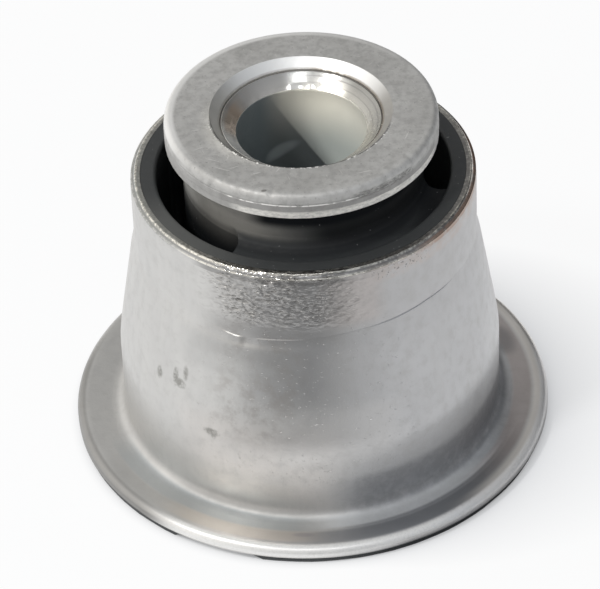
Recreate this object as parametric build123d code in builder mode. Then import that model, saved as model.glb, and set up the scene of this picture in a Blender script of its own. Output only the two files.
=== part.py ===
from build123d import *
import os

os.makedirs("parts", exist_ok=True)

# Rubber metal bush, millimetres, standing on its flange, bore along Z.
# A drawn steel sleeve holds a rubber moulding, and the rubber holds a thick
# tube whose upper end is flared into a punched washer.

# ---- driving dimensions -------------------------------------------------
total_height = 49.1        # base of the rubber to the top of the washer
bore_dia = 16.6            # clears an M16 bolt
tube_dia = 23.0            # body of the inner tube
neck_shoulder = 1.2        # the tube steps in by this much where it enters the washer

washer_dia = 35.0
washer_thick = 3.5
washer_countersink = 1.35  # radial width of the countersink in the washer
washer_stand = 5.5         # clear height between the sleeve's rim and the washer

seat_low_dia = 50.0        # wide press seat above the flange
seat_up_dia = 44.3         # narrow press seat below the rim
flange_width = 6.5         # flange beyond the wide seat
sheet = 1.5                # steel sheet
seat_low_length = 11.4     # flange face to the start of the cone
seat_up_length = 9.7       # end of the cone to the rim

skin = 1.0                 # rubber under the flange
lip_wall = 1.5             # raised rubber lip inside the rim
lip_step = 1.3             # web face below the lip
void_width = 3.75          # hollow between the lip and the barrel of rubber on the tube

web_bearing = -67.6        # middle of the wide web, degrees from +X
web_span = 108.0           # angle of the wide web between the two hollows
void_span = 84.0           # angle that one hollow takes

# ---- small details ------------------------------------------------------
foot_round = 1.4           # outside, between the wide seat and the flange
flange_edge_round = 0.9    # coined upper edge of the flange
flange_burr_round = 0.35
seat_blend = 14.0          # long blend from the wide seat into the cone
sizing_step = 0.2          # ledge left by the sizing die under the narrow seat
sizing_slope = 0.15
lead_in_height = 1.4       # taper at the rim that starts the sleeve in its hole
lead_in_depth = 0.25
rim_bevel = 0.3
rim_land = 0.35            # flat steel left at the top of the rim
rim_inner_bevel_height = 0.7

rollover_depth = 1.4       # punched washer: rounded upper edge
rollover_width = 0.9
rollover_fullness = 0.67   # how far the curve's handles reach to the square corner
washer_burr = 0.06         # the lower edge of the washer is left almost sharp by the punch
countersink_ratio = 0.85   # rise over run of the countersink
joint_break = 0.14         # hairline groove between tube end and washer
tube_chamfer = 0.6
bore_chamfer = 0.8

barrel_gap = 0.6           # rubber stops this far below the washer
barrel_round = 0.8
barrel_fillet = 2.2        # barrel into web
lip_round = 0.45
lip_foot = 0.4
skin_setback = 0.3         # rubber edge inside the flange edge
skin_round = 0.3
foot_ring_lap = 1.9        # rubber ring underneath runs in past the sleeve wall
underside_recess = 2.0     # rubber between ring and tube stands back
underside_slope = 1.0
void_corner = 1.3          # rounded corners of the hollows
rubber_round_share = 0.5   # most of a rubber wall that a rounding may take

# ---- derived levels and radii -------------------------------------------
bore_r = bore_dia / 2
tube_r = tube_dia / 2
joint_r = tube_r - neck_shoulder
washer_r = washer_dia / 2
mouth_r = joint_r + washer_countersink
seat_low_r = seat_low_dia / 2
seat_up_r = seat_up_dia / 2
flange_r = seat_low_r + flange_width

washer_base = total_height - washer_thick
joint_z = total_height - (mouth_r - joint_r) * countersink_ratio
tube_end_z = joint_z - joint_break * countersink_ratio
bore_top_z = tube_end_z - (joint_r - joint_break - bore_r) * countersink_ratio

flange_base = skin
flange_top = skin + sheet
seat_low_top = flange_top + seat_low_length
rim_height = washer_base - washer_stand
seat_up_base = rim_height - seat_up_length
inner_low_r = seat_low_r - sheet
inner_up_r = seat_up_r - sheet
throat_round = foot_round + sheet
lead_in_r = seat_up_r - lead_in_depth
rim_outer_r = lead_in_r - rim_bevel
rim_inner_r = rim_outer_r - rim_land
lip_inner_r = inner_up_r - lip_wall
barrel_r = lip_inner_r - void_width

barrel_top = washer_base - barrel_gap
web_top = rim_height - lip_step
skin_r = flange_r - skin_setback
ring_inner_r = inner_low_r - foot_ring_lap
barrel_rounding = min(barrel_round, (barrel_r - tube_r) * rubber_round_share)


def corner(section, radius, height):
    """The corner of a section that lies nearest a radius and a height."""
    return section.vertices().sort_by_distance((radius, height))[0]


# ---- outer sleeve: one drawn sheet steel part ----------------------------
with BuildPart() as outer_sleeve:
    with BuildSketch(Plane.XZ) as sleeve_section:
        with BuildLine():
            Polyline(
                (flange_r, flange_base),
                (flange_r, flange_top),
                (seat_low_r, flange_top),
                (seat_low_r, seat_low_top),
                (seat_up_r + sizing_step, seat_up_base),
                (seat_up_r, seat_up_base + sizing_slope),
                (seat_up_r, rim_height - lead_in_height),
                (lead_in_r, rim_height - rim_bevel),
                (rim_outer_r, rim_height),
                (rim_inner_r, rim_height),
                (inner_up_r, rim_height - rim_inner_bevel_height),
                (inner_up_r, seat_up_base),
                (inner_low_r, seat_low_top),
                (inner_low_r, flange_base),
                close=True,
            )
        make_face()

        fillet(corner(sleeve_section, seat_low_r, flange_top), foot_round)
        fillet(corner(sleeve_section, inner_low_r, flange_base), throat_round)
        fillet(corner(sleeve_section, flange_r, flange_top), flange_edge_round)
        fillet(corner(sleeve_section, flange_r, flange_base), flange_burr_round)
        fillet(corner(sleeve_section, seat_low_r, seat_low_top), seat_blend)
        fillet(corner(sleeve_section, inner_low_r, seat_low_top), seat_blend)
    revolve(axis=Axis.Z)

# ---- inner tube: thick tube, end countersunk as it is flared out ----------
with BuildPart() as inner_tube:
    with BuildSketch(Plane.XZ):
        with BuildLine():
            Polyline(
                (bore_r + bore_chamfer, 0),
                (tube_r - tube_chamfer, 0),
                (tube_r, tube_chamfer),
                (tube_r, washer_base),
                (joint_r, washer_base),
                (joint_r, tube_end_z - joint_break),
                (joint_r - joint_break, tube_end_z),
                (bore_r, bore_top_z),
                (bore_r, bore_chamfer),
                close=True,
            )
        make_face()
    revolve(axis=Axis.Z)

# ---- stop washer: punched plate, rolled upper edge, countersunk hole -------
with BuildPart() as stop_washer:
    with BuildSketch(Plane.XZ):
        with BuildLine():
            Polyline(
                (washer_r, total_height - rollover_depth),
                (washer_r, washer_base + washer_burr),
                (washer_r - washer_burr, washer_base),
                (joint_r, washer_base),
                (joint_r, joint_z),
                (mouth_r, total_height),
                (washer_r - rollover_width, total_height),
            )
            Bezier(
                (washer_r - rollover_width, total_height),
                (washer_r - rollover_width * (1 - rollover_fullness), total_height),
                (washer_r, total_height - rollover_depth * (1 - rollover_fullness)),
                (washer_r, total_height - rollover_depth),
            )
        make_face()
    revolve(axis=Axis.Z)

# ---- rubber body: one moulding between tube and sleeve ---------------------
with BuildPart() as rubber_body:
    with BuildSketch(Plane.XZ) as rubber_section:
        with BuildLine():
            Polyline(
                (tube_r, underside_recess),
                (tube_r, barrel_top),
                (barrel_r, barrel_top),
                (barrel_r, web_top),
                (lip_inner_r, web_top),
                (lip_inner_r, rim_height),
                (rim_inner_r, rim_height),
                (inner_up_r, rim_height - rim_inner_bevel_height),
                (inner_up_r, seat_up_base),
                (inner_low_r, seat_low_top),
                (inner_low_r, flange_base),
                (skin_r, flange_base),
                (skin_r, 0),
                (ring_inner_r, 0),
                (ring_inner_r - underside_slope, underside_recess),
                close=True,
            )
        make_face()

        fillet(corner(rubber_section, barrel_r, barrel_top), barrel_rounding)
        fillet(corner(rubber_section, barrel_r, web_top), barrel_fillet)
        fillet(corner(rubber_section, lip_inner_r, web_top), lip_foot)
        fillet(corner(rubber_section, lip_inner_r, rim_height), lip_round)
        fillet(corner(rubber_section, inner_low_r, seat_low_top), seat_blend)
        fillet(corner(rubber_section, inner_low_r, flange_base), throat_round)
        fillet(corner(rubber_section, skin_r, 0), skin_round)
    revolve(axis=Axis.Z)

    # kidney hollows, open at the top and at the underside
    for void_start in (web_bearing + web_span / 2, web_bearing - web_span / 2 - void_span):
        with BuildSketch(Plane.XY) as void_outline:
            with BuildLine():
                outer_arc = CenterArc((0, 0), lip_inner_r, void_start, void_span)
                inner_arc = CenterArc((0, 0), barrel_r, void_start, void_span)
                Line(outer_arc @ 0, inner_arc @ 0)
                Line(outer_arc @ 1, inner_arc @ 1)
            make_face()
            fillet(void_outline.vertices(), void_corner)
        extrude(amount=total_height, mode=Mode.SUBTRACT)

outer_sleeve.part.label = "outer_sleeve"
inner_tube.part.label = "inner_tube"
stop_washer.part.label = "stop_washer"
rubber_body.part.label = "rubber_body"

export_step(outer_sleeve.part, "parts/outer_sleeve.step")
export_step(inner_tube.part, "parts/inner_tube.step")
export_step(stop_washer.part, "parts/stop_washer.step")
export_step(rubber_body.part, "parts/rubber_body.step")
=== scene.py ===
"""Looks of the rubber metal bush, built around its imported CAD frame."""

import math

import bmesh
import bpy
import numpy as np
from mathutils import Matrix, Vector, noise


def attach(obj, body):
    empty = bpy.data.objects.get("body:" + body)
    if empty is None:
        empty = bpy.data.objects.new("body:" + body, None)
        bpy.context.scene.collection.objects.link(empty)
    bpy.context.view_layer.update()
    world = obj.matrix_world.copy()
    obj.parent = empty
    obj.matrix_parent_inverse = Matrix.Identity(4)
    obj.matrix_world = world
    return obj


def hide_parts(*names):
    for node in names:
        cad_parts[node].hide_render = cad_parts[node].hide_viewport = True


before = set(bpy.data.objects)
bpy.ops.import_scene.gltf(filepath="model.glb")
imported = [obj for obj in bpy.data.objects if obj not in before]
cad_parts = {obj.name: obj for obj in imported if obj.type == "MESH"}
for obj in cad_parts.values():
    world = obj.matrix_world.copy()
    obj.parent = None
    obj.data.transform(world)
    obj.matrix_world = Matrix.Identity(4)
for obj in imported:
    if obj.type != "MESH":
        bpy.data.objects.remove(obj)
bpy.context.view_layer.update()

MM = 0.001
STEEL_SEGMENTS = 512
SLEEVE_SEGMENTS = 480
TUBE_SEGMENTS = 256
FLASH_SEGMENTS = 1400
SEED = 7


# ---- sizes in millimetres, measured on the CAD pieces of the frame -------
def places(mesh):
    """Points of a mesh in millimetres, one row each."""
    flat = np.empty(len(mesh.vertices) * 3)
    mesh.vertices.foreach_get("co", flat)
    return flat.reshape(-1, 3) / MM


def extent(node):
    """Least and greatest radius, then least and greatest height, of one CAD piece."""
    xyz = places(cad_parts[node].data)
    r, z = np.hypot(xyz[:, 0], xyz[:, 1]), xyz[:, 2]
    return [round(float(v), 2) for v in (r.min(), r.max(), z.min(), z.max())]


INNER_UP_R, FLANGE_R, FLANGE_BASE_Z, RIM_Z = extent("outer_sleeve")
JOINT_R, WASHER_R, WASHER_BASE_Z, TOP_Z = extent("stop_washer")
BORE_R, TUBE_R, TUBE_BASE_Z, TUBE_END_Z = extent("inner_tube")

# driving sizes that these extents don't give, as the CAD has them
SHEET = 1.5
FLANGE_WIDTH = 6.5
SEAT_LOW_LENGTH = 11.4
SEAT_UP_LENGTH = 9.7
FOOT_ROUND = 1.4
SEAT_BLEND = 14.0
LEDGE = 0.2
LEDGE_SLOPE = 0.15
COUNTERSINK = 1.35
TUBE_SETBACK = 0.12
FLARE_DEPTH = 1.58
BORE_CHAMFER = 0.8
TUBE_CHAMFER = 0.6
# rolled upper edge of the washer
ROLL_DEPTH = 1.4
ROLL_WIDTH = 0.9
# how far the rubber lip covers the rim, from the sleeve's inner face
RIM_COVERED = 0.22

SEAT_LOW_R = FLANGE_R - FLANGE_WIDTH
SEAT_UP_R = INNER_UP_R + SHEET
INNER_LOW_R = SEAT_LOW_R - SHEET
FLANGE_TOP_Z = FLANGE_BASE_Z + SHEET
CONE_LOW_Z = FLANGE_TOP_Z + SEAT_LOW_LENGTH
CONE_TOP_Z = RIM_Z - SEAT_UP_LENGTH
THROAT_ROUND = FOOT_ROUND + SHEET
LAND_R = INNER_UP_R + RIM_COVERED
MOUTH_R = JOINT_R + COUNTERSINK
JOINT_Z = TUBE_END_Z + TUBE_SETBACK
BORE_TOP_Z = TUBE_END_Z - FLARE_DEPTH
ROLL_START_Z = TOP_Z - ROLL_DEPTH
ROLL_HANDLE_Z = TOP_Z - 0.46
ROLL_HANDLE_R = WASHER_R - 0.3
ROLL_END_R = WASHER_R - ROLL_WIDTH


# ---- mesh helpers --------------------------------------------------------
def add_object(name, data):
    thing = bpy.data.objects.new(name, data)
    bpy.context.scene.collection.objects.link(thing)
    return thing


def section(corners, arc_degrees=9.0):
    """Closed section through corners (r, z, rounding, step of the run that follows)."""
    n = len(corners)
    arcs = []
    for i, (r, z, radius, _) in enumerate(corners):
        corner = np.array([r, z])
        u = np.array(corners[i - 1][:2]) - corner
        v = np.array(corners[(i + 1) % n][:2]) - corner
        u, v = u / np.linalg.norm(u), v / np.linalg.norm(v)
        opening = math.acos(np.clip(u @ v, -1, 1))
        if radius <= 0 or opening > math.pi - 1e-3:
            arcs.append([corner])
            continue
        setback = radius / math.tan(opening / 2)
        centre = corner + (u + v) / np.linalg.norm(u + v) * radius / math.sin(opening / 2)
        start, end = corner + u * setback - centre, corner + v * setback - centre
        sweep = math.pi - opening
        count = max(3, math.ceil(math.degrees(sweep) / arc_degrees) + 1)
        arcs.append(
            [
                centre
                + (math.sin((1 - q) * sweep) * start + math.sin(q * sweep) * end) / math.sin(sweep)
                for q in np.linspace(0, 1, count)
            ]
        )
    points = []
    for i, arc in enumerate(arcs):
        points.extend(arc)
        run = arcs[(i + 1) % n][0] - arc[-1]
        cuts = int(np.linalg.norm(run) // corners[i][3])
        points.extend(arc[-1] + run * q / (cuts + 1) for q in range(1, cuts + 1))
    return np.array(points)


def revolve(name, outline, segments, shape):
    """Ring swept from a closed outline; shape(az, r, z) moves its points."""
    az = np.linspace(0, 2 * math.pi, segments, endpoint=False)
    a, r = np.meshgrid(az, outline[:, 0], indexing="ij")
    z = np.broadcast_to(outline[:, 1], a.shape).copy()
    r, z = shape(np.degrees(a), r.copy(), z)
    xyz = np.stack([r * np.cos(a), r * np.sin(a), z], -1).reshape(-1, 3) * MM
    m = len(outline)
    i = np.arange(segments)[:, None]
    j = np.arange(m)[None, :]
    i2, j2 = (i + 1) % segments, (j + 1) % m
    quads = np.stack([i * m + j, i2 * m + j, i2 * m + j2, i * m + j2], -1).reshape(-1, 4)
    mesh = bpy.data.meshes.new(name)
    mesh.from_pydata(xyz.tolist(), [], quads.tolist())
    mesh.validate()
    mesh.polygons.foreach_set("use_smooth", [True] * len(mesh.polygons))
    work = bmesh.new()
    work.from_mesh(mesh)
    bmesh.ops.recalc_face_normals(work, faces=work.faces)
    work.to_mesh(mesh)
    work.free()
    return add_object(name, mesh)


def wave(az, seed, low, high, size):
    """Smooth unevenness round the ring, between -size and +size."""
    rng = np.random.default_rng(SEED + seed)
    total, weight = np.zeros_like(az), 0.0
    for k in range(low, high + 1):
        w = 1.0 / k**0.7
        total += w * np.sin(np.radians(az) * k + rng.uniform(0, 2 * math.pi))
        weight += w
    return size * total / weight * 2.0


def window(x, low, high, soft):
    """One between low and high, falling to nothing over soft on both sides."""
    up = np.clip((x - low) / soft + 1, 0, 1)
    down = np.clip((high - x) / soft + 1, 0, 1)
    t = np.minimum(up, down)
    return t * t * (3 - 2 * t)


def turn(az, centre):
    """Angle from a bearing, -180 to 180."""
    return (az - centre + 180) % 360 - 180


def grain(az, r, z, scale, seed):
    """Fine noise on the surface, one value per point."""
    a = np.radians(az)
    x, y = r * np.cos(a) / scale + seed * 17.3, r * np.sin(a) / scale
    flat = zip(x.ravel(), y.ravel(), (z / scale).ravel())
    return np.array([noise.noise(p) for p in flat]).reshape(az.shape)


# ---- outer sleeve ----------------------------------------------------------
# the ledge that the sizing die left runs up and down a little round the sleeve
LEDGE_BEARINGS = [-180, -160, -136, -122, -115, -102, -89, -77, -62, -48, -20, 20, 70, 130, 180]
LEDGE_LIFTS = [
    0.0, 0.1, -0.2, -0.55, -1.0, -0.65, -0.4, -0.05, 0.15, 0.45, 0.35, 0.1, -0.3, 0.2, 0.0
]
# how much of the ledge is left, by bearing
WORN_BEARINGS = [
    -180, -140, -126, -120, -118, -113.5, -112, -109, -107, -104, -96, -90, -72, -60, -40, -24, 180
]
WORN_SHARES = [
    0.0, 0.0, 0.2, 0.35, 0.8, 0.8, 0.05, 0.1, 0.5, 0.6, 0.5, 0.22, 0.25, 0.5, 0.42, 0.0, 0.0
]
# small dents: bearing, height, size round, size up, depth
DENTS = [
    (-144.0, 18.8, 0.40, 0.75, 0.08),
    (-132.6, 21.6, 0.36, 1.15, 0.07),
    (-136.6, 20.0, 0.36, 1.20, 0.07),
    (-134.6, 19.3, 0.62, 0.45, 0.07),
    (-136.3, 22.2, 0.55, 0.22, 0.04),
    (-122.0, 14.3, 0.75, 0.36, 0.16),
    (-121.3, 14.0, 0.35, 0.55, 0.10),
    (-145.5, 23.6, 0.50, 0.22, 0.04),
]
# only points beyond this radius belong to the outer face
OUTER_FACE_R = SEAT_UP_R - 0.4
# coarse grain on the narrow seat: size, how much finer it is up and down, depth
PEEL_SIZE = 0.8
PEEL_DRAWN = 2.0
PEEL_DEPTH = 0.065


def shape_sleeve(az, r, z):
    bearing = turn(az, 0)
    lift = np.interp(bearing, LEDGE_BEARINGS, LEDGE_LIFTS)
    worn = 1 - np.interp(bearing, WORN_BEARINGS, WORN_SHARES)
    outer = r > OUTER_FACE_R
    proud = np.clip(r - SEAT_UP_R, 0, LEDGE) * window(z, CONE_TOP_Z - 0.2, CONE_TOP_Z + 0.3, 2.5)
    r = r - proud * worn * outer
    near_ledge = window(z, CONE_TOP_Z - 0.4, CONE_TOP_Z + 0.6, 2.2) * outer
    z = z + lift * near_ledge
    # drawn seat is not quite round, the trimmed rim and flange are not quite true
    r = r + wave(az, 1, 2, 5, 0.03) * window(z, 20, RIM_Z, 12)
    z = z - np.abs(wave(az, 2, 3, 40, 0.05)) * window(z, RIM_Z - 0.3, RIM_Z + 1, 0.4)
    edge = window(r, FLANGE_R - 0.8, FLANGE_R + 1, 0.8)
    r = r - np.abs(wave(az, 3, 2, 24, 0.05)) * edge
    z = z - np.abs(wave(az, 4, 2, 9, 0.06)) * edge * (z > FLANGE_TOP_Z - 0.7)
    peel = window(bearing, -118, -78, 20) * window(z, 32.6, 38.8, 2.0) * outer
    bumpy = peel > 0.01
    bumps = np.zeros_like(r)
    bumps[bumpy] = grain(az[bumpy], r[bumpy], z[bumpy] * PEEL_DRAWN, PEEL_SIZE, 1) * PEEL_DEPTH
    r = r + bumps * peel
    for centre, height, wide, tall, depth in DENTS:
        across = turn(az, centre) * math.pi / 180 * r / wide
        up = (z - height) / tall
        r = r - depth * np.exp(-(across * across + up * up)) * (r > OUTER_FACE_R)
    return r, z


sleeve_outline = section(
    [
        (FLANGE_R, FLANGE_BASE_Z, 0.12, 0.4),
        (FLANGE_R, FLANGE_TOP_Z, 1.05, 0.7),
        (SEAT_LOW_R, FLANGE_TOP_Z, FOOT_ROUND, 0.6),
        (SEAT_LOW_R, CONE_LOW_Z, SEAT_BLEND, 0.4),
        (SEAT_UP_R + LEDGE, CONE_TOP_Z, 0.06, 0.06),
        (SEAT_UP_R, CONE_TOP_Z + LEDGE_SLOPE, 0.06, 0.21),
        (SEAT_UP_R, RIM_Z - 1.6, 0.3, 0.2),
        (SEAT_UP_R - 0.12, RIM_Z - 1.0, 0.25, 0.15),
        (SEAT_UP_R - 0.03, RIM_Z - 0.46, 0.12, 0.1),
        (SEAT_UP_R - 0.36, RIM_Z - 0.34, 0.05, 0.1),
        (SEAT_UP_R - 0.60, RIM_Z, 0.13, 0.1),
        (LAND_R, RIM_Z, 0.04, 0.7),
        (INNER_UP_R, RIM_Z - 0.7, 0.1, 4.0),
        (INNER_UP_R, CONE_TOP_Z, 0.0, 4.0),
        (INNER_LOW_R, CONE_LOW_Z, SEAT_BLEND, 4.0),
        (INNER_LOW_R, FLANGE_BASE_Z, THROAT_ROUND, 4.0),
    ],
    arc_degrees=14.0,
)
sleeve = revolve("sleeve_skin", sleeve_outline, SLEEVE_SEGMENTS, shape_sleeve)

# ---- stop washer -----------------------------------------------------------
# the punched wall is torn below this height
BURNISH_Z = 46.65
# nicks in the upper edge: bearing, width in degrees, depth
NICKS = ((-104, 1.3, 0.10), (-127, 1.0, 0.08), (-47, 2.0, 0.07), (-38, 1.4, 0.08))


def shape_washer(az, r, z):
    side = window(r, WASHER_R - 0.35, WASHER_R + 1, 0.25)
    line = BURNISH_Z + wave(az, 11, 3, 30, 0.18)
    torn = np.clip((line - z) / 0.12, 0, 1) * side
    rough = grain(az, r, z, 0.42, 2)
    r = r - torn * (0.03 + 0.05 * np.abs(rough))
    r = r - wave(az, 12, 2, 6, 0.02) * side - 0.02 * side
    top = window(z, TOP_Z - 0.05, TOP_Z + 1, 0.3)
    z = z - np.abs(grain(az, r, z, 1.6, 3)) * 0.014 * top
    rolled = window(r, ROLL_END_R, WASHER_R, 0.3)
    for centre, wide, depth in NICKS:
        cut = np.exp(-((turn(az, centre) / wide) ** 2))
        z = z - depth * cut * rolled * (z > ROLL_START_Z)
    return r, z


# rolled upper edge, a Bezier curve
ROLL = (
    (WASHER_R, ROLL_START_Z),
    (WASHER_R, ROLL_HANDLE_Z),
    (ROLL_HANDLE_R, TOP_Z),
    (ROLL_END_R, TOP_Z),
)
roll = []
for q in np.linspace(0, 1, 10):
    weights = ((1 - q) ** 3, 3 * q * (1 - q) ** 2, 3 * q * q * (1 - q), q**3)
    roll.append((*(sum(w * p[k] for w, p in zip(weights, ROLL)) for k in (0, 1)), 0.0, 1.0))
washer_outline = section(
    [
        (WASHER_R - 0.06, WASHER_BASE_Z, 0.0, 0.2),
        (WASHER_R, WASHER_BASE_Z + 0.06, 0.0, 0.09),
        (WASHER_R, 47.6, 0.0, 0.05),
        (WASHER_R - 0.035, 47.66, 0.0, 0.05),
    ]
    + roll
    + [
        (MOUTH_R, TOP_Z, 0.09, 0.14),
        (JOINT_R + 0.05, JOINT_Z + 0.04, 0.04, 0.3),
        (JOINT_R + 0.05, WASHER_BASE_Z, 0.1, 0.7),
    ],
    arc_degrees=16.0,
)
washer = revolve("washer_plate", washer_outline, STEEL_SEGMENTS, shape_washer)


# ---- inner tube ------------------------------------------------------------
def shape_tube(az, r, z):
    flare = window(z, BORE_TOP_Z + 0.2, TUBE_END_Z - 0.2, 0.4) * (r < JOINT_R - 0.2)
    z = z + wave(az, 21, 5, 17, 0.022) * flare
    brink = window(z, BORE_TOP_Z - 0.35, BORE_TOP_Z + 0.3, 0.5) * (r < BORE_R + 0.6)
    z = z - np.abs(wave(az, 22, 7, 15, 0.11)) * brink
    return r, z


tube_outline = section(
    [
        (BORE_R + BORE_CHAMFER, TUBE_BASE_Z, 0.1, 0.5),
        (TUBE_R - TUBE_CHAMFER, TUBE_BASE_Z, 0.1, 0.5),
        (TUBE_R, TUBE_BASE_Z + TUBE_CHAMFER, 0.1, 2.5),
        (TUBE_R, WASHER_BASE_Z, 0.05, 0.6),
        (JOINT_R, WASHER_BASE_Z, 0.0, 0.7),
        (JOINT_R, TUBE_END_Z - 0.14, 0.05, 0.2),
        (JOINT_R - 0.14, TUBE_END_Z, 0.08, 0.16),
        (BORE_R, BORE_TOP_Z, 0.3, 1.0),
        (BORE_R, TUBE_BASE_Z + BORE_CHAMFER, 0.1, 0.5),
    ],
    arc_degrees=8.0,
)
tube = revolve("tube_wall", tube_outline, TUBE_SEGMENTS, shape_tube)


# ---- rubber flash left under the flange ------------------------------------
FLASH_IN_R, FLASH_MID_R, FLASH_OUT_R = 30.9, 31.05, 31.22
FLASH_LOW_Z, FLASH_TOP_Z = 0.42, 0.98
FLASH_GONE = -112


def shape_flash(az, r, z):
    ragged = np.clip(wave(az, 31, 20, 150, 0.36) - 0.02, 0, 0.28)
    torn_off = window(turn(az, FLASH_GONE), -7, 7, 9)
    some = 0.35 + 0.65 * window(turn(az, FLASH_GONE), -48, 48, 30)
    free = r > FLASH_MID_R
    r = r + ragged * some * (1 - torn_off) * free - 0.2 * torn_off * free
    low = np.clip(wave(az, 32, 12, 160, 0.5), -0.25, 0.3) + 0.35 * torn_off
    z = np.clip(z + low * (z < 0.6), 0.05, 2)
    return r, z


flash_outline = section(
    [
        (FLASH_IN_R, FLASH_LOW_Z, 0.0, 1.0),
        (FLASH_OUT_R, FLASH_LOW_Z, 0.05, 0.1),
        (FLASH_OUT_R, FLASH_TOP_Z, 0.05, 1.0),
        (FLASH_IN_R, FLASH_TOP_Z, 0.0, 1.0),
    ]
)
flash = revolve("rubber_flash", flash_outline, FLASH_SEGMENTS, shape_flash)


# ---- rubber body, from the CAD's own surface --------------------------------
def shape_rubber(az, r, z):
    # thin skin under the flange: ragged, and torn away over a stretch at the front left
    skin = (r > 30.0) & (z < 1.05)
    gone = window(turn(az, -115.5), -8.0, 8.0, 1.5)
    r = r - skin * (np.abs(wave(az, 33, 8, 40, 0.12)) + 2.0 * gone)
    # raised lip is a little fuller than the drawing, and stops at the bare steel land of the rim
    r = r - 0.28 * window(r, 19.1, 19.65, 0.05) * (z > 39.2)
    edge = (r > LAND_R) & (z > RIM_Z - 0.2) & (z < RIM_Z + 0.2)
    r = np.where(edge, LAND_R, r)
    return r, z


rubber = add_object("rubber_moulding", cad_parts["rubber_body"].data.copy())
xyz = places(rubber.data)
bearing = np.arctan2(xyz[:, 1], xyz[:, 0])
r, z = shape_rubber(np.degrees(bearing), np.hypot(xyz[:, 0], xyz[:, 1]), xyz[:, 2])
xyz = np.stack([r * np.cos(bearing), r * np.sin(bearing), z], -1) * MM
rubber.data.vertices.foreach_set("co", xyz.ravel())
rubber.data.update()


# ---- material helpers ------------------------------------------------------
class Nodes:
    """Short calls that add nodes to one tree."""

    def __init__(self, tree):
        self.tree = tree

    def new(self, kind):
        return self.tree.nodes.new(kind)

    def link(self, source, target):
        self.tree.links.new(source, target)

    def feed(self, value, target):
        if isinstance(value, bpy.types.NodeSocket):
            self.link(value, target)
        else:
            target.default_value = value

    def math(self, operation, a, b=None, clamp=False):
        node = self.new("ShaderNodeMath")
        node.operation = operation
        node.use_clamp = clamp
        self.feed(a, node.inputs[0])
        if b is not None:
            self.feed(b, node.inputs[1])
        return node.outputs[0]

    def plus(self, a, b):
        return self.math("ADD", a, b)

    def minus(self, a, b):
        return self.math("SUBTRACT", a, b)

    def both(self, *values):
        """All the values multiplied."""
        out = values[0]
        for value in values[1:]:
            out = self.math("MULTIPLY", out, value)
        return out

    def most(self, values):
        """The largest of the values."""
        out = values[0]
        for value in values[1:]:
            out = self.math("MAXIMUM", out, value)
        return out

    def vector(self, operation, a, b=None, scale=None):
        node = self.new("ShaderNodeVectorMath")
        node.operation = operation
        self.feed(a, node.inputs[0])
        if b is not None:
            self.feed(b, node.inputs[1])
        if scale is not None:
            self.feed(scale, node.inputs["Scale"])
        return node.outputs["Value" if operation in ("DOT_PRODUCT", "LENGTH") else "Vector"]


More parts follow.
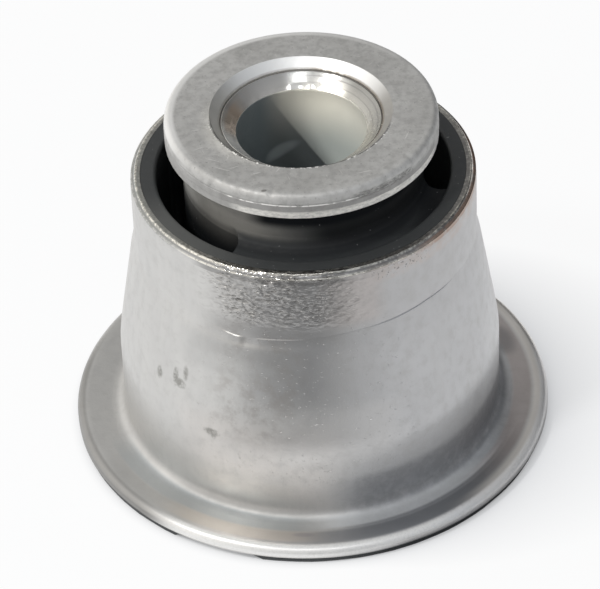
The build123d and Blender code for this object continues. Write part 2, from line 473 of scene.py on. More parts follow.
class Paint(Nodes):
    """A node material whose colour is laid on coat by coat."""

    def __init__(self, name):
        self.material = bpy.data.materials.new(name)
        self.material.use_nodes = True
        super().__init__(self.material.node_tree)
        self.shader = self.tree.nodes["Principled BSDF"]
        self.mm = self.vector(
            "SCALE", self.new("ShaderNodeTexCoord").outputs["Object"], scale=1 / MM
        )
        split = self.new("ShaderNodeSeparateXYZ")
        self.link(self.mm, split.inputs[0])
        self.x, self.y, self.z = split.outputs
        xx, yy = self.both(self.x, self.x), self.both(self.y, self.y)
        self.r = self.math("SQRT", self.plus(xx, yy))
        self.az = self.both(self.math("ARCTAN2", self.y, self.x), 180 / math.pi)

    def noise(self, size, detail, rough, stretch=(1, 1, 1), shift=0.0, degrees=0.0):
        """Noise whose features are about size millimetres across."""
        node = self.new("ShaderNodeTexNoise")
        place = self.mm
        if degrees:
            rotate = self.new("ShaderNodeVectorRotate")
            rotate.rotation_type = "Z_AXIS"
            rotate.inputs["Angle"].default_value = math.radians(degrees)
            self.link(place, rotate.inputs["Vector"])
            place = rotate.outputs[0]
        place = self.vector("MULTIPLY", place, stretch)
        place = self.vector("ADD", place, (shift, shift * 0.7, shift * 1.3))
        self.link(place, node.inputs["Vector"])
        node.inputs["Scale"].default_value = 1.0 / size
        node.inputs["Detail"].default_value = detail
        node.inputs["Roughness"].default_value = rough
        return node.outputs[0]

    def streak(self, degrees, across, detail=2.0, rough=0.5, shift=0.0):
        """Noise drawn out round the axis: about degrees long and across millimetres wide."""
        node = self.new("ShaderNodeTexNoise")
        place = self.new("ShaderNodeCombineXYZ")
        turns = math.degrees(1.0) / degrees
        for k, side in enumerate((self.x, self.y)):
            unit = self.math("DIVIDE", side, self.r)
            self.link(self.plus(self.both(unit, turns), shift), place.inputs[k])
        self.link(self.math("DIVIDE", self.minus(self.r, self.z), across), place.inputs[2])
        self.link(place.outputs[0], node.inputs["Vector"])
        node.inputs["Scale"].default_value = 1.0
        node.inputs["Detail"].default_value = detail
        node.inputs["Roughness"].default_value = rough
        return node.outputs[0]

    def fit(self, value, a, b, c=0.0, d=1.0):
        """Smooth step from c to d, where value goes from a to b; a may be the larger."""
        node = self.new("ShaderNodeMapRange")
        node.interpolation_type = "SMOOTHSTEP"
        self.feed(value, node.inputs["Value"])
        for key, number in (("From Min", a), ("From Max", b), ("To Min", c), ("To Max", d)):
            node.inputs[key].default_value = number
        return node.outputs["Result"]

    def band(self, value, low, high, soft):
        """One from low to high, falling to nothing over soft outside them."""
        rise = self.fit(value, low - soft, low)
        fall = self.fit(value, high, high + soft, 1.0, 0.0)
        return self.both(rise, fall)

    def round_back(self, *ends):
        """Share that grows from bearing to bearing on both sides, and meets itself at 180."""
        return self.most([self.fit(self.az, *end) for end in ends])

    def mix(self, share, a, b):
        node = self.new("ShaderNodeMix")
        node.data_type = "RGBA"
        self.feed(share, node.inputs[0])
        self.feed(a if isinstance(a, bpy.types.NodeSocket) else (*a, 1.0), node.inputs[6])
        self.feed(b if isinstance(b, bpy.types.NodeSocket) else (*b, 1.0), node.inputs[7])
        return node.outputs[2]

    def spot(self, centre, along, length, width, soft=0.6):
        """Mark at a point, drawn out along a direction; one inside, nothing outside."""
        away = self.vector("SUBTRACT", self.mm, centre)
        ahead = self.vector("DOT_PRODUCT", away, tuple(Vector(along).normalized()))
        total = self.vector("LENGTH", away)
        aside = self.minus(self.both(total, total), self.both(ahead, ahead))
        p = self.math("DIVIDE", self.both(ahead, ahead), length * length)
        q = self.math("DIVIDE", aside, width * width)
        return self.fit(self.plus(p, q), 1 - soft, 1 + soft, 1.0, 0.0)

    def coat(self, share, tone, level=None):
        """Lay a tone over the colour so far, fully where share times level is one."""
        if level is not None:
            share = self.both(share, level)
        self.color = self.mix(share, self.color, tone)

    def finish(self, rough, height, depth, metallic):
        """Hand colour, roughness, bump (depth in millimetres) and metal to the shader."""
        self.link(self.color, self.shader.inputs["Base Color"])
        self.link(rough, self.shader.inputs["Roughness"])
        self.feed(metallic, self.shader.inputs["Metallic"])
        bump = self.new("ShaderNodeBump")
        bump.inputs["Strength"].default_value = 1.0
        bump.inputs["Distance"].default_value = depth * MM
        self.link(height, bump.inputs["Height"])
        self.link(bump.outputs[0], self.shader.inputs["Normal"])
        return self.material


def on_ring(bearing, radius, height):
    """Point at a bearing in degrees; radius 1 and height 0 make it a direction."""
    a = math.radians(bearing)
    return (radius * math.cos(a), radius * math.sin(a), height)


# ---- finish of the sleeve --------------------------------------------------
def sleeve_finish():
    """Satin drawn steel with dirt, films and handling marks, and with painted light, shade and
    reflections.
    """
    paint = Paint("sleeve_satin_steel")
    cloud = paint.noise(14, 3, 0.5)
    streaks = paint.noise(2.2, 3, 0.6, stretch=(1, 1, 0.22), shift=7)
    mottle = paint.noise(1.5, 4, 0.65, shift=5)
    fine = paint.noise(0.30, 3, 0.6, shift=9)
    # painted shade: the steel tones turn cooler and bluer from the front right round to the right,
    # and the shoulder there is painted darker
    shaded_side_cool = paint.both(paint.fit(paint.az, -104, -62), paint.fit(paint.az, 70, 30))
    pale_tone = paint.mix(shaded_side_cool, (0.69, 0.682, 0.662), (0.648, 0.65, 0.658))
    deep_tone = paint.mix(shaded_side_cool, (0.62, 0.617, 0.606), (0.585, 0.588, 0.60))
    paint.color = paint.mix(cloud, pale_tone, deep_tone)
    right_shoulder_shade = paint.both(shaded_side_cool, paint.fit(paint.z, 24, 33))
    paint.coat(right_shoulder_shade, (0.53, 0.525, 0.53), 0.4)
    ruddy = paint.both(paint.band(paint.az, -82, -70, 8), paint.band(paint.z, 32.5, 38.6, 2))
    paint.coat(ruddy, (0.62, 0.56, 0.53), 0.5)
    blush = paint.both(paint.band(paint.az, -124, -92, 16), paint.band(paint.z, 5, 15, 4))
    paint.coat(blush, (0.69, 0.655, 0.625), 0.6)
    paint.coat(paint.fit(streaks, 0.35, 0.75, 0.0, 0.3), (0.54, 0.535, 0.53))
    paint.coat(paint.fit(mottle, 0.45, 0.75, 0.0, 0.35), (0.52, 0.515, 0.50))
    # painted dark reflection in the middle of the neck, smudges below it
    neck_dark_reflection = paint.both(paint.band(paint.az, -103, -92, 14), paint.band(paint.z, 24, 39, 7))
    paint.coat(neck_dark_reflection, (0.38, 0.385, 0.40), 0.5)
    smudge = paint.both(paint.band(paint.az, -115, -100, 12), paint.band(paint.z, 17, 30, 5))
    smudge = paint.both(smudge, paint.fit(paint.noise(2.2, 4, 0.65, shift=17), 0.42, 0.66))
    paint.coat(smudge, (0.43, 0.41, 0.39), 0.6)
    # rim: two polished edges painted bright as highlight lines, painted shade between them and
    # below the rim at the front, a brown film on the right
    land = paint.both(paint.fit(paint.z, 39.9, 40.0), paint.fit(paint.r, 21.42, 21.32))
    paint.coat(land, (0.52, 0.51, 0.48))
    fleck = paint.both(land, paint.fit(paint.streak(1.2, 0.5, shift=15), 0.50, 0.62))
    paint.coat(fleck, (0.24, 0.23, 0.21), 0.6)
    first = paint.both(paint.band(paint.r, 21.38, 21.66, 0.06), paint.fit(paint.z, 39.86, 39.92))
    second = paint.both(
        paint.band(paint.z, 39.46, 39.70, 0.06),
        paint.fit(paint.r, 21.95, 22.0),
        paint.fit(paint.az, -142, -126),
        paint.fit(paint.az, 172, 150),
    )
    edges = paint.most([first, second])
    paint.coat(edges, (0.93, 0.90, 0.82))
    worn_rim = paint.both(
        paint.most([edges, land]), paint.fit(paint.noise(0.42, 2, 0.6, shift=45), 0.50, 0.62)
    )
    paint.coat(worn_rim, (0.30, 0.295, 0.27), 0.65)
    # painted shade between the two edges and below the rim at the front
    gap = paint.both(paint.band(paint.z, 39.74, 39.86, 0.05), paint.fit(paint.r, 21.6, 21.7))
    under = paint.both(
        paint.band(paint.z, 38.75, 39.35, 0.12),
        paint.fit(paint.r, 21.7, 21.9),
        paint.band(paint.az, -124, -82, 8),
    )
    paint.coat(paint.most([gap, under]), (0.22, 0.22, 0.22), 0.7)
    sooty = paint.both(
        paint.band(paint.az, -66, 20, 14),
        paint.fit(paint.z, 39.1, 39.5),
        paint.fit(paint.r, 20.7, 20.9),
    )
    sooty = paint.both(sooty, paint.fit(paint.noise(0.6, 3, 0.6, shift=49), 0.34, 0.56, 0.15, 1.0))
    paint.coat(sooty, (0.20, 0.195, 0.19), 0.75)
    film = paint.both(paint.band(paint.az, -40, 12, 14), paint.band(paint.z, 39.1, 39.75, 0.3))
    film = paint.both(
        film, paint.fit(paint.r, 21.6, 21.8), paint.fit(mottle, 0.36, 0.55, 0.35, 1.0)
    )
    paint.coat(film, (0.36, 0.235, 0.17))
    rosy = paint.both(
        paint.band(paint.az, -62, -6, 12),
        paint.band(paint.z, 37.8, 39.3, 1.0),
        paint.fit(mottle, 0.36, 0.6, 0.2, 1.0),
    )
    paint.coat(rosy, (0.64, 0.55, 0.50), 0.45)
    flecks = paint.both(paint.band(paint.az, -66, -50, 5), paint.band(paint.z, 38.0, 39.0, 0.4))
    flecks = paint.both(flecks, paint.fit(paint.noise(0.35, 2, 0.6, shift=51), 0.58, 0.66))
    paint.coat(flecks, (0.18, 0.175, 0.17), 0.7)
    # flange: painted pale bluish reflection on the land near the foot at the front right, brown
    # inside a paler edge on the right
    flange = paint.both(paint.fit(paint.r, 25.4, 26.2), paint.fit(paint.z, 3.2, 2.9))
    on_land = paint.fit(paint.z, 3.0, 2.7)
    right = paint.band(paint.az, -24, 50, 26)
    foot = paint.both(
        paint.band(paint.r, 25.6, 27.3, 0.5),
        paint.fit(paint.z, 2.9, 2.6),
        paint.band(paint.az, -82, -32, 14),
    )
    paint.coat(foot, (0.62, 0.65, 0.67), 0.5)
    # painted shade and dark reflection along the foot and on the outer land at the front right
    low = paint.both(
        paint.band(paint.az, -72, -8, 16),
        paint.band(paint.z, 3.4, 7.5, 1.6),
        paint.fit(mottle, 0.3, 0.6, 0.6, 1.0),
    )
    outer_land_shade = paint.both(
        paint.band(paint.az, -102, -26, 14), paint.band(paint.r, 28.4, 30.0, 0.6), on_land
    )
    paint.coat(paint.most([low, outer_land_shade]), (0.30, 0.305, 0.32), 0.7)
    # painted shade dims the land, seat and foot at the front left, where the key light falls
    land_left = paint.both(
        paint.band(paint.az, -146, -128, 14), paint.band(paint.r, 28.6, 30.4, 0.7), on_land
    )
    paint.coat(land_left, (0.40, 0.40, 0.39), 0.45)
    seat_left_shade = paint.both(
        paint.band(paint.az, -128, -104, 13),
        paint.most([paint.band(paint.z, 4.8, 8.0, 2), paint.band(paint.z, 24.5, 27.5, 2)]),
    )
    paint.coat(seat_left_shade, (0.50, 0.50, 0.49), 0.4)
    foot_fillet_shade = paint.both(paint.band(paint.az, -126, -100, 16), paint.fit(paint.z, 3.6, 2.9))
    foot_fillet_shade = paint.both(foot_fillet_shade, paint.band(paint.r, 24.9, 27.8, 1.4))
    paint.coat(foot_fillet_shade, (0.36, 0.36, 0.355), 0.7)
    cool = paint.both(
        paint.band(paint.r, 26.0, 27.9, 0.6), paint.band(paint.az, -150, -100, 16), on_land
    )
    paint.coat(cool, (0.44, 0.475, 0.49), 0.6)
    tan = paint.both(
        paint.band(paint.r, 28.2, 29.7, 0.5), paint.band(paint.az, -124, -98, 12), on_land
    )
    paint.coat(tan, (0.62, 0.57, 0.51), 0.55)
    brown = paint.both(flange, right, paint.band(paint.r, 27.2, 29.0, 0.7))
    paint.coat(brown, (0.48, 0.41, 0.39), 0.55)
    pale = paint.both(flange, paint.band(paint.az, -42, 60, 14), paint.fit(paint.r, 29.0, 30.0))
    paint.coat(pale, (0.94, 0.90, 0.85), 0.7)
    # the first spot is a painted shadow on the land beside the wall at the right, the second a
    # small dark mark at the front
    for bearing, radius, length, width, tone, level in (
        (18, 27.2, 3.0, 1.6, (0.19, 0.19, 0.20), 0.55),
        (-94, 28.6, 1.3, 0.35, (0.30, 0.28, 0.32), 0.4),
    ):
        middle, along = on_ring(bearing, radius, FLANGE_TOP_Z), on_ring(bearing + 90, 1, 0)
        paint.coat(paint.spot(middle, along, length, width, soft=0.9), tone, level)
    # coined edge: scuffed pale at the front, darker wall at the left and right
    coined = paint.both(paint.fit(paint.r, 30.2, 30.7), paint.band(paint.z, 1.3, 2.6, 0.15))
    scuffed = paint.both(
        coined, paint.band(paint.az, -122, -62, 18), paint.fit(fine, 0.3, 0.6, 0.75, 1.0)
    )
    paint.coat(scuffed, (0.88, 0.875, 0.86))
    chalky = paint.both(
        coined, paint.band(paint.az, -54, 6, 12), paint.fit(fine, 0.3, 0.6, 0.6, 1.0)
    )
    paint.coat(chalky, (0.84, 0.84, 0.85), 0.6)
    wall = paint.both(paint.fit(paint.r, 31.1, 31.35), paint.fit(paint.z, 2.0, 1.7))
    dim = paint.both(
        wall,
        paint.most(
            [
                paint.fit(paint.az, -128, -138),
                paint.fit(paint.az, 150, 175),
                paint.both(paint.band(paint.az, -66, -36, 10), 0.3),
            ]
        ),
    )
    paint.coat(dim, (0.16, 0.155, 0.15))
    back_edge = paint.both(coined, paint.round_back((-124, -140), (150, 170)))
    paint.coat(back_edge, (0.33, 0.325, 0.315), 0.85)
    quiet = paint.round_back((-132, -146), (150, 172))
    quiet = paint.both(quiet, paint.fit(paint.z, 39.2, 39.5), paint.fit(paint.r, 20.7, 20.9))
    quiet = paint.both(quiet, paint.fit(paint.noise(0.45, 2, 0.6, shift=41), 0.38, 0.60, 0.1, 0.8))
    paint.coat(quiet, (0.36, 0.37, 0.35))
    # dents keep dirt
    marks = []
    for bearing, z, wide, tall, _ in DENTS:
        middle = on_ring(bearing, 25.0 if z < 16 else 24.0, z)
        if tall > wide:
            along, length, width = (0, 0, 1), tall * 1.25, wide * 1.25
        else:
            along, length, width = on_ring(bearing + 90, 1, 0), wide * 1.5, tall * 1.5
        marks.append(paint.spot(middle, along, length, width, soft=0.85))
    ragged = paint.fit(paint.noise(0.5, 3, 0.6, shift=21), 0.3, 0.6, 0.2, 1.0)
    mark = paint.both(paint.most(marks), ragged)
    paint.coat(mark, (0.24, 0.235, 0.215), 0.75)
    # drawn grain in the middle of the neck, with a painted dark reflection over it that runs on
    # past the ledge, painted shade in its wrinkles and painted glints; small pecks on the cone
    # lower down
    peel = paint.both(paint.band(paint.az, -116, -85, 17), paint.band(paint.z, 34.0, 38.9, 3.2))
    peel = paint.both(peel, paint.fit(paint.noise(4.5, 2, 0.5, shift=43), 0.30, 0.55, 0.5, 1.0))
    paint.coat(peel, (0.46, 0.44, 0.42), 0.3)
    dark_reflection_band = paint.both(paint.band(paint.az, -114, -86, 14), paint.band(paint.z, 30.6, 39.0, 2.0))
    paint.coat(dark_reflection_band, (0.30, 0.295, 0.29), 0.36)
    below = paint.both(paint.band(paint.az, -122, -104, 10), paint.band(paint.z, 27.0, 31.0, 2.0))
    paint.coat(below, (0.34, 0.335, 0.33), 0.3)
    lift = paint.both(paint.band(paint.az, -94, -72, 14), paint.band(paint.z, 12.5, 18.0, 3.0))
    paint.coat(lift, (0.82, 0.81, 0.80), 0.4)
    wrinkle = paint.noise(1.05, 1.3, 0.5, stretch=(1, 1, 2.2), shift=3)
    valley = paint.both(peel, paint.fit(wrinkle, 0.47, 0.37))
    paint.coat(valley, (0.22, 0.21, 0.20), 0.5)
    glint = paint.both(
        peel, paint.fit(paint.noise(0.55, 2, 0.5, stretch=(1, 1, 1.9), shift=47), 0.64, 0.72)
    )
    paint.coat(glint, (0.97, 0.95, 0.91), 0.6)
    peck = paint.fit(paint.noise(0.5, 2, 0.5, stretch=(1, 1, 1.7), shift=31), 0.67, 0.73)
    peck = paint.both(peck, paint.band(paint.az, -124, -66, 12), paint.band(paint.z, 10, 30, 4))
    paint.coat(peck, (0.86, 0.85, 0.82), 0.25)
    rough = paint.plus(paint.fit(mottle, 0.3, 0.7, -0.03, 0.05), 0.38)
    rough = paint.minus(rough, paint.both(peel, 0.15))
    rough = paint.minus(rough, paint.both(edges, 0.18))
    curl = paint.both(paint.band(paint.r, 24.9, 26.6, 0.3), paint.fit(paint.z, 4.8, 4.0))
    rough = paint.plus(rough, paint.both(curl, 0.13))
    height = paint.plus(paint.both(fine, 0.25), paint.both(wrinkle, paint.both(peel, 8.0)))
    height = paint.minus(height, paint.both(peck, 0.9))
    # less metal where dust lies on the coined edge and where the reflection is painted by the foot
    dust_and_sheen = paint.most([paint.both(foot, 0.55), paint.both(paint.most([scuffed, chalky]), 0.5)])
    return paint.finish(rough, height, depth=0.055, metallic=paint.minus(1.0, dust_and_sheen))


sleeve.data.materials.append(sleeve_finish())

# ---- finish of the washer --------------------------------------------------
# scratches on the top face: x, y, direction, half length, half width
SCRATCHES = [
    (-13.0, -6.9, (1, 0.5), 0.7, 0.06),
    (-13.4, -3.1, (1, 0.15), 0.5, 0.06),
    (-11.2, -9.4, (1, -0.45), 1.0, 0.05),
    (-10.0, -11.3, (1, -0.5), 1.2, 0.06),
    (-9.4, -9.0, (0.3, 1), 0.5, 0.06),
    (-8.6, -11.0, (1, 0.4), 0.7, 0.06),
    (-5.9, -12.4, (1, 0.3), 0.6, 0.10),
    (-3.2, -11.9, (0.6, 1), 0.5, 0.08),
    (7.6, -13.0, (1, 0.25), 0.9, 0.09),
    (13.1, -6.0, (0.4, 1), 0.8, 0.08),
]


def washer_finish():
    """Tumbled steel, sheared wall, countersunk mouth, with painted highlights, shade and
    reflections.
    """
    paint = Paint("washer_tumbled_steel")
    cloud = paint.noise(7, 3, 0.55, shift=2)
    mottle = paint.noise(1.1, 4, 0.6, shift=8)
    fine = paint.noise(0.28, 3, 0.6, shift=4)
    paint.color = paint.mix(paint.fit(cloud, 0.3, 0.7), (0.615, 0.61, 0.595), (0.505, 0.50, 0.485))
    paint.coat(paint.fit(mottle, 0.38, 0.72, 0.0, 0.5), (0.34, 0.335, 0.325))
    speck = paint.fit(paint.noise(0.4, 2, 0.5, shift=33), 0.64, 0.72)
    paint.coat(speck, (0.22, 0.215, 0.21), 0.45)
    # painted highlight on the rolled shoulder, strongest at the back and at the left
    roll_highlight = paint.both(paint.fit(paint.r, 15.9, 16.5), paint.fit(paint.z, 48.2, 48.6))
    around = paint.round_back((20, 110, 0.1, 1.0), (-140, -172, 0.1, 1.0))
    paint.coat(paint.both(roll_highlight, around), (0.88, 0.875, 0.86))
    countersink = paint.both(
        paint.fit(paint.r, MOUTH_R + 0.08, MOUTH_R - 0.05), paint.fit(paint.z, 47.7, 47.9)
    )
    # painted light and shade on the countersink: near white at the back, paler at the left, dark
    # at the front and right
    sunlit = paint.band(paint.az, 42, 128, 34)
    left = paint.round_back((110, 140), (-138, -165))
    shadowed = paint.mix(left, (0.40, 0.39, 0.37), (0.66, 0.65, 0.62))
    paint.coat(countersink, paint.mix(sunlit, shadowed, (0.94, 0.94, 0.93)))
    stain = paint.both(
        countersink, paint.fit(paint.r, 10.66, 10.40), paint.fit(mottle, 0.3, 0.55, 0.6, 1.0)
    )
    stained = paint.most([paint.both(paint.band(paint.az, -80, 75, 20), 0.8), 0.45])
    paint.coat(paint.both(stain, stained), (0.20, 0.165, 0.125))
    # lower lip of the mouth: dark line with small bright nicks
    lip = paint.both(paint.fit(paint.z, 48.9, 49.0), paint.band(paint.az, -165, -25, 15))
    lip_line = paint.both(
        lip, paint.band(paint.r, 11.52, 11.76, 0.07), paint.fit(mottle, 0.35, 0.55, 0.5, 1.0)
    )
    paint.coat(lip_line, (0.13, 0.13, 0.13), 0.85)
    nick = paint.both(
        lip,
        paint.band(paint.r, 11.66, 11.9, 0.08),
        paint.fit(paint.streak(1.6, 0.4, shift=11), 0.56, 0.62),
    )
    paint.coat(nick, (0.95, 0.94, 0.92))
    # wall, from the front left to the right: a painted highlight line, a burnished band painted
    # dark as a dark reflection, and the torn band, lighter for its own rough grey and for painted
    # light
    side = paint.fit(paint.r, 17.15, 17.3)
    banded = paint.both(side, paint.band(paint.az, -126, -20, 4))
    burnished_dark_reflection = paint.both(banded, paint.band(paint.z, 46.75, 47.5, 0.1))
    paint.coat(burnished_dark_reflection, (0.27, 0.26, 0.255), 0.5)
    left_wall = paint.both(
        side, paint.round_back((-112, -126), (120, 150)), paint.fit(paint.z, 47.7, 47.4)
    )
    paint.coat(left_wall, (0.36, 0.355, 0.345), 0.5)
    torn = paint.both(side, paint.band(paint.az, -114, -24, 10), paint.fit(paint.z, 46.75, 46.55))
    torn = paint.both(
        torn,
        paint.fit(paint.streak(2.5, 0.35, shift=19), 0.35, 0.6, 0.5, 1.0),
        paint.fit(fine, 0.35, 0.6, 0.8, 1.0),
    )
    paint.coat(torn, (0.93, 0.91, 0.86))
    edge_highlight_line = paint.both(
        side, paint.band(paint.z, 47.52, 47.68, 0.04), paint.band(paint.az, -122, -68, 2)
    )
    edge_highlight_line = paint.both(edge_highlight_line, paint.fit(paint.streak(4.0, 1.0, shift=23), 0.42, 0.52))
    paint.coat(edge_highlight_line, (0.97, 0.96, 0.93))
    # scuff along the outer edge at the right
    scuff = paint.both(
        paint.band(paint.z, 47.45, 48.15, 0.25),
        paint.band(paint.az, -67, -42, 5),
        paint.fit(paint.r, 16.8, 17.1),
    )
    scuff = paint.both(scuff, paint.fit(paint.streak(1.6, 0.2, shift=27), 0.38, 0.6, 0.25, 1.0))
    paint.coat(scuff, (0.22, 0.215, 0.205), 0.75)
    scratch = paint.most(
        [paint.spot((x, y, TOP_Z), (*d, 0), ln, wd) for x, y, d, ln, wd in SCRATCHES]
    )
    paint.coat(scratch, (0.80, 0.79, 0.77), 0.55)
    pit = paint.spot((-5.0, -15.9, TOP_Z), (1, 0.1, 0), 0.35, 0.2)
    paint.coat(pit, (0.16, 0.15, 0.14), 0.7)
    # fine handling scratches in three directions
    on_top = paint.both(paint.fit(paint.z, 48.6, 48.9), paint.fit(paint.r, 11.7, 11.9))
    hairs = []
    for degrees, shift in ((24, 40), (-38, 50), (71, 60)):
        hair = paint.noise(0.16, 1, 0.4, stretch=(0.11, 1, 1), shift=shift, degrees=degrees)
        hairs.append(paint.fit(hair, 0.73, 0.78))
    hair = paint.both(paint.most(hairs), on_top)
    paint.coat(hair, (0.78, 0.77, 0.74), 0.35)
    rough = paint.plus(paint.fit(mottle, 0.3, 0.7, -0.04, 0.06), 0.55)
    rough = paint.minus(rough, paint.both(countersink, 0.14))
    height = paint.plus(paint.both(fine, 0.5), paint.both(mottle, 0.8))
    height = paint.minus(height, paint.both(paint.most([scratch, hair]), 0.6))
    bare = paint.plus(0.6, paint.both(countersink, 0.15))
    return paint.finish(rough, height, depth=0.03, metallic=bare)


washer.data.materials.append(washer_finish())

# ---- finish of the tube ----------------------------------------------------
def tube_finish():
    """Flared end and a dark bore, both with painted light and shade."""
    paint = Paint("tube_steel")
    flare = paint.both(paint.fit(paint.z, 46.2, 46.3), paint.fit(paint.r, 10.3, 10.1))
    inside = paint.both(paint.fit(paint.r, 8.6, 8.4), paint.fit(paint.z, 46.3, 46.2))
    mottle = paint.noise(1.6, 4, 0.6)
    turned = paint.noise(0.5, 2, 0.5, stretch=(0.05, 0.05, 5))
    paint.color = paint.mix(paint.fit(mottle, 0.35, 0.7), (0.59, 0.565, 0.52), (0.52, 0.505, 0.47))
    warm = paint.both(
        paint.most([paint.band(paint.az, 158, 181, 14), paint.fit(paint.az, -165, -180)]),
        flare,
        paint.fit(paint.r, 9.9, 9.5),
    )
    # painted light and shade on the flare: pale at the left and back, dark at the front right,
    # darker again at the back left
    sunlit = paint.round_back((40, 62), (-45, -110))
    paint.coat(flare, paint.mix(sunlit, (0.36, 0.355, 0.335), (0.68, 0.675, 0.655)))
    back_left_flare_shade = paint.both(flare, paint.band(paint.az, 106, 158, 14))
    paint.coat(back_left_flare_shade, (0.33, 0.32, 0.31), 0.75)
    paint.coat(warm, (0.56, 0.39, 0.26), 0.5)
    soot = paint.both(flare, paint.fit(paint.streak(14, 0.45, 3, 0.6, shift=4), 0.36, 0.66))
    soot = paint.both(
        soot, paint.most([paint.band(paint.az, 150, 181, 20), paint.fit(paint.az, -160, -178)])
    )
    paint.coat(soot, (0.34, 0.27, 0.20), 0.45)
    ring = paint.plus(paint.both(paint.math("SINE", paint.both(paint.r, 9.2)), 0.5), 0.5)
    groove = paint.both(flare, paint.fit(ring, 0.86, 0.98), paint.band(paint.az, -70, 62, 30))
    paint.coat(groove, (0.24, 0.235, 0.23), 0.55)
    # painted light and shade in the bore: paler and warmer from bearing 85 on, darker and bluer
    # deeper down and past bearing 132, with a pale streak of painted reflection
    bore_streak_reflection = paint.spot(on_ring(112, BORE_R, 36.8), (1, 0, 0.35), 3.0, 0.9, soft=0.9)
    bore_lit_and_shaded = paint.mix(mottle, (0.20, 0.202, 0.195), (0.225, 0.225, 0.215))
    bore_lit_and_shaded = paint.mix(paint.fit(paint.az, 15, 85), bore_lit_and_shaded, (0.36, 0.355, 0.33))
    bore_lit_and_shaded = paint.mix(paint.fit(paint.z, 46.4, 37.0), bore_lit_and_shaded, (0.135, 0.15, 0.155))
    bore_lit_and_shaded = paint.mix(paint.round_back((104, 132), (-150, -178)), bore_lit_and_shaded, (0.145, 0.17, 0.185))
    bore_lit_and_shaded = paint.mix(paint.both(bore_streak_reflection, 0.6), bore_lit_and_shaded, (0.42, 0.46, 0.48))
    paint.coat(inside, bore_lit_and_shaded)
    dull = paint.plus(paint.fit(mottle, 0.3, 0.7, -0.04, 0.05), 0.50)
    rough = paint.minus(dull, paint.both(flare, 0.29))
    height = paint.plus(paint.both(turned, 0.4), paint.both(mottle, 0.5))
    height = paint.minus(height, paint.both(groove, 1.2))
    bare = paint.minus(
        1.0,
        paint.most(
            [
                paint.both(inside, 0.85),
                paint.both(
                    flare, paint.plus(paint.both(paint.band(paint.az, -158, -118, 18), 0.35), 0.25)
                ),
            ]
        ),
    )
    return paint.finish(rough, height, depth=0.012, metallic=bare)


tube.data.materials.append(tube_finish())

# ---- finish of the rubber --------------------------------------------------
def rubber_finish():
    """Black rubber, greyed on the left by a pale film and by painted light, with painted shade on
    the barrel and specks of dust.
    """
    paint = Paint("black_rubber")
    cloud = paint.noise(6, 4, 0.6)
    mottle = paint.noise(0.9, 4, 0.65, shift=6)
    dust = paint.fit(paint.noise(0.42, 1, 0.4, shift=12), 0.765, 0.80)
    paint.color = paint.mix(cloud, (0.028, 0.032, 0.035), (0.042, 0.045, 0.046))
    # painted light: the top of the lip is paler at the front left
    lip = paint.both(paint.fit(paint.z, 39.5, 39.8), paint.fit(paint.r, 18.6, 18.8))
    lip_lit_side = paint.both(paint.fit(paint.az, -100, -135), paint.fit(paint.az, -172, -148))
    lip_lit_tone = paint.mix(lip_lit_side, (0.042, 0.045, 0.046), (0.092, 0.095, 0.092))
    paint.coat(lip, lip_lit_tone)
    barrel = paint.both(paint.fit(paint.r, 16.5, 15.7), paint.fit(paint.z, 36.2, 39.6))
    # painted shade on the barrel at the front and right
    shade = paint.both(barrel, paint.fit(paint.az, -100, -76), paint.fit(paint.az, 170, 140))
    paint.coat(shade, (0.010, 0.011, 0.012))
    # pale film on the barrel at the left, made paler still by painted light
    bloom_and_light = paint.round_back((-78, -122), (138, 172))
    bloom_and_light = paint.both(barrel, bloom_and_light, paint.fit(cloud, 0.3, 0.6, 0.75, 1.0))
    bloom_and_light = paint.both(
        bloom_and_light,
        paint.most(
            [
                paint.fit(paint.z, 39.8, 40.9),
                paint.fit(paint.az, -118, -130),
                paint.fit(paint.az, 130, 150),
            ]
        ),
    )
    paler_lit_left = paint.round_back((-142, -168), (150, 170))
    bloom_and_light_tone = paint.mix(paler_lit_left, (0.235, 0.228, 0.21), (0.37, 0.37, 0.355))
    paint.coat(bloom_and_light, bloom_and_light_tone)
    # painted shade on the barrel right under the washer
    under = paint.both(
        barrel,
        paint.fit(paint.z, 41.9, 43.3),
        paint.fit(paint.az, -122, -108),
        paint.fit(paint.az, 165, 135),
    )
    # painted shade: the web is darker along its dish and towards the right, the barrel under the
    # washer too, and these places lose some sheen
    web = paint.both(paint.fit(paint.z, 40.0, 39.4), paint.fit(paint.r, 19.0, 18.7))
    dish = paint.both(web, paint.fit(paint.r, 17.6, 16.4, 0.0, 0.7))
    end = paint.both(web, paint.fit(paint.az, -48, -24, 0.0, 0.8), paint.fit(paint.az, 175, 150))
    fillet = paint.both(
        paint.fit(paint.r, 17.6, 16.6),
        paint.fit(paint.z, 41.0, 40.0),
        paint.fit(paint.z, 38.4, 38.9),
    )
    dull = paint.most([dish, end, under, paint.both(fillet, 0.4)])
    paint.coat(dull, (0.006, 0.007, 0.009))
    paint.coat(dust, (0.30, 0.30, 0.30), 0.5)
    rough = paint.plus(paint.fit(mottle, 0.3, 0.7, -0.05, 0.06), 0.52)
    height = paint.plus(paint.both(mottle, 0.7), paint.both(cloud, 0.8))
    paint.link(paint.fit(dull, 0.0, 1.0, 0.5, 0.15), paint.shader.inputs["Specular IOR Level"])
    return paint.finish(rough, height, depth=0.03, metallic=0.0)


rubber_material = rubber_finish()
flash.data.materials.append(rubber_material)
rubber.data.materials.clear()
rubber.data.materials.append(rubber_material)

# ---- each piece hangs from the root; the CAD pieces that four of them stand for are hidden ---
for piece, node, slot in (
    (sleeve, "outer_sleeve", "sleeve_steel"),
    (washer, "stop_washer", "washer_steel"),
    (tube, "inner_tube", "tube_steel"),
    (rubber, "rubber_body", "rubber"),
):
    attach(piece, "root")
    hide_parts(node)
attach(flash, "root")

